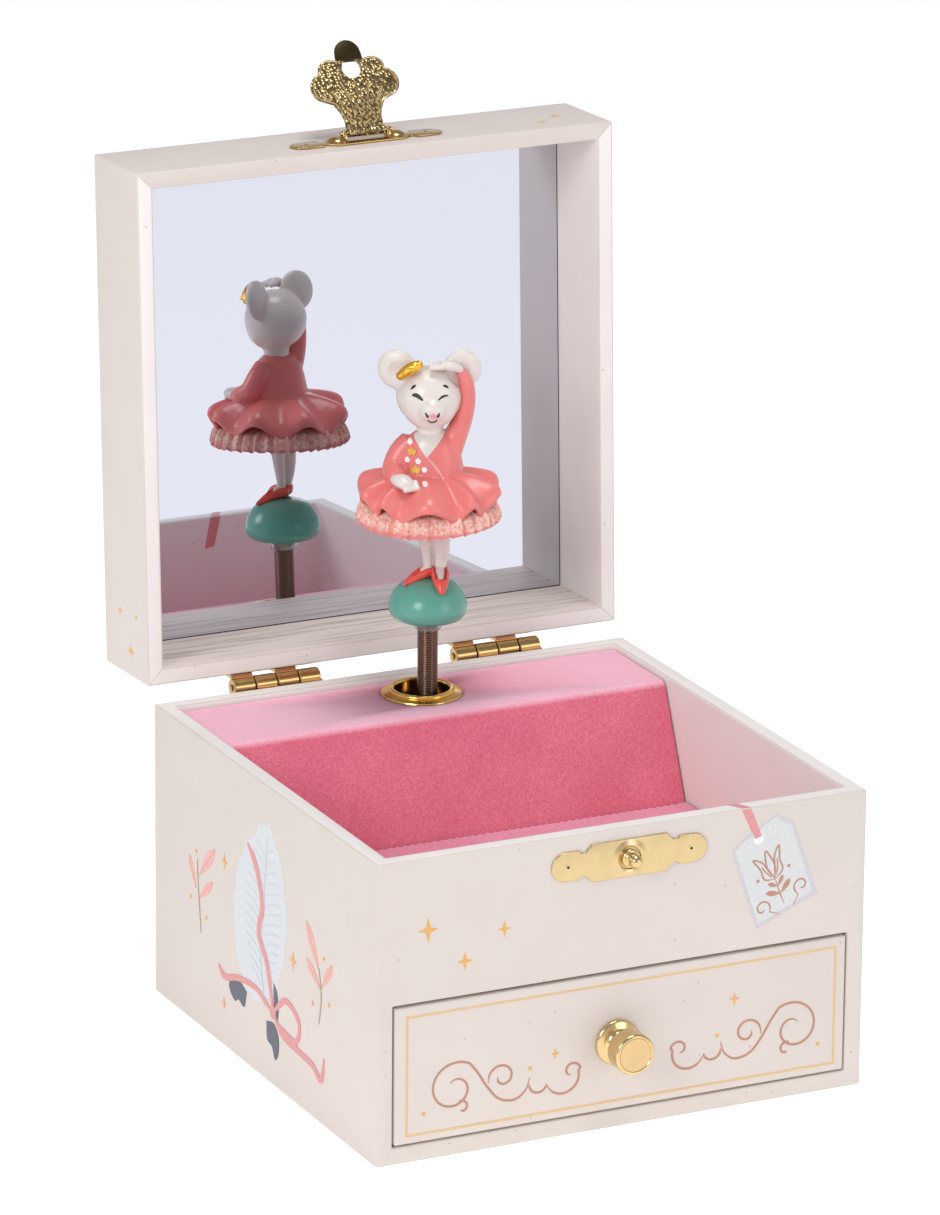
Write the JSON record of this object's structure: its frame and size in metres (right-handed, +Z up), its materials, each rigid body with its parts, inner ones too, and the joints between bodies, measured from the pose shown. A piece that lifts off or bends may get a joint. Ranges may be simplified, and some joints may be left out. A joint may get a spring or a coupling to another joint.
{
  "type": "wind-up music box",
  "caption": "Square paper-covered music box with a mirrored hinged lid, a drawer, a clasp and a dancer turning on a spring over a wind-up movement.",
  "frame": {"origin": "centre of the base, on the surface that the box stands on", "axes": "+Z up, -Y towards the front with the drawer and the catch, +X to the right seen from the front"},
  "size_m": [0.12, 0.1632, 0.2139],
  "materials": {
    "wrapped_board": "thin board wrapped in matt cream paper with fine flecks",
    "bare_board": "plain thin board",
    "flock": "rose flocked card, matt velvet pile",
    "brass_hardware": "bright brass plate",
    "steel": "nickel-plated and bare steel",
    "mirror_glass": "silvered mirror",
    "jade_paint": "satin jade paint",
    "coral_paint": "satin coral paint",
    "blush_paint": "matt blush paint with speckles",
    "cream_paint": "satin cream paint",
    "clear_plastic": "clear moulded plastic"
  },
  "bodies": {
    "case": {"case_front_board": "wrapped_board", "case_back_board": "wrapped_board", "case_left_board": "wrapped_board", "case_right_board": "wrapped_board", "base_board": "bare_board", "tray_deck": "bare_board", "bay_partition": "bare_board", "platform_board": "bare_board", "flocked_liner": "flock", "tray_floor_pad": "flock", "platform_eyelet": "brass_hardware", "catch_plate": "brass_hardware", "catch_stud": "brass_hardware", "catch_nail_left": "brass_hardware", "catch_nail_right": "brass_hardware", "left_hinge_case_leaf": "brass_hardware", "right_hinge_case_leaf": "brass_hardware", "left_hinge_pin": "steel", "right_hinge_pin": "steel", "movement_bedplate": "steel", "comb": "steel", "comb_screw_lower": "steel", "comb_screw_upper": "steel"},
    "lid": {"lid_front_rail": "wrapped_board", "lid_back_rail": "wrapped_board", "lid_left_rail": "wrapped_board", "lid_right_rail": "wrapped_board", "lid_top_panel": "wrapped_board", "mirror": "mirror_glass", "hasp_plate": "brass_hardware", "hasp_pin": "steel", "hasp_nail_left": "brass_hardware", "hasp_nail_right": "brass_hardware", "left_hinge_lid_leaf": "brass_hardware", "right_hinge_lid_leaf": "brass_hardware"},
    "hasp": {"hasp": "brass_hardware"},
    "drawer": {"drawer_front": "wrapped_board", "drawer_left_side": "bare_board", "drawer_right_side": "bare_board", "drawer_back": "bare_board", "drawer_bottom": "bare_board", "drawer_liner": "flock", "drawer_knob": "brass_hardware", "drawer_knob_screw": "steel"},
    "spring_arm": {"pop_up_spring": "steel", "figure_collar": "clear_plastic"},
    "figure": {"figure_dome": "jade_paint", "figure_legs": "cream_paint", "figure_petticoat": "blush_paint", "figure_dress": "coral_paint", "figure_head": "cream_paint"},
    "cylinder": {"music_cylinder": "brass_hardware", "cylinder_arbor": "steel"},
    "winding": {"spring_barrel": "brass_hardware", "mainspring": "steel", "winding_arbor": "steel", "crown_gear": "brass_hardware", "winding_key": "steel"},
    "governor": {"governor_wheel": "brass_hardware"},
    "fan": {"governor_fan": "brass_hardware"}
  },
  "joints": [
    {"name": "lid_hinge", "type": "hinge", "parent": "case", "child": "lid", "pos_m": [0, 0.063, 0.07], "axis": [1, 0, 0], "range_deg": [0, 92.5]},
    {"name": "hasp_hinge", "type": "hinge", "parent": "lid", "child": "hasp", "pos_m": [0.0008, 0.07675, 0.19472], "axis": [1, 0, 0], "range_deg": [0, 120.5]},
    {"name": "drawer_slide", "type": "slide", "parent": "case", "child": "drawer", "axis": [0, -1, 0], "range_m": [0, 0.055]},
    {"name": "spring_bend", "type": "hinge", "parent": "case", "child": "spring_arm", "pos_m": [0.002, 0.0448, 0.082], "axis": [1, 0, 0], "range_deg": [0, 107], "deforming": ["pop_up_spring"]},
    {"name": "figure_spin", "type": "hinge", "parent": "spring_arm", "child": "figure", "pos_m": [0.002, 0.0448, 0.082], "axis": [0, 0, 1], "continuous": true},
    {"name": "cylinder_spin", "type": "hinge", "parent": "case", "child": "cylinder", "pos_m": [0.002, 0.0448, 0.0294], "axis": [0, 0, 1], "continuous": true},
    {"name": "key_wind", "type": "hinge", "parent": "case", "child": "winding", "pos_m": [0.002, 0.0448, 0.0165], "axis": [0, 1, 0], "continuous": true},
    {"name": "governor_wheel_spin", "type": "hinge", "parent": "case", "child": "governor", "pos_m": [0.01208, 0.0448, 0.054], "axis": [0, 0, 1], "continuous": true},
    {"name": "fan_spin", "type": "hinge", "parent": "case", "child": "fan", "pos_m": [0.02153, 0.0448, 0.054], "axis": [0, 0, 1], "continuous": true}
  ],
  "couplings": [
    {"joint": "spring_bend", "follows": "lid_hinge", "ratio": 1.1567},
    {"joint": "figure_spin", "follows": "cylinder_spin", "ratio": 1},
    {"joint": "key_wind", "follows": "cylinder_spin", "ratio": 0.5},
    {"joint": "governor_wheel_spin", "follows": "cylinder_spin", "ratio": -3},
    {"joint": "fan_spin", "follows": "cylinder_spin", "ratio": 12}
  ]
}
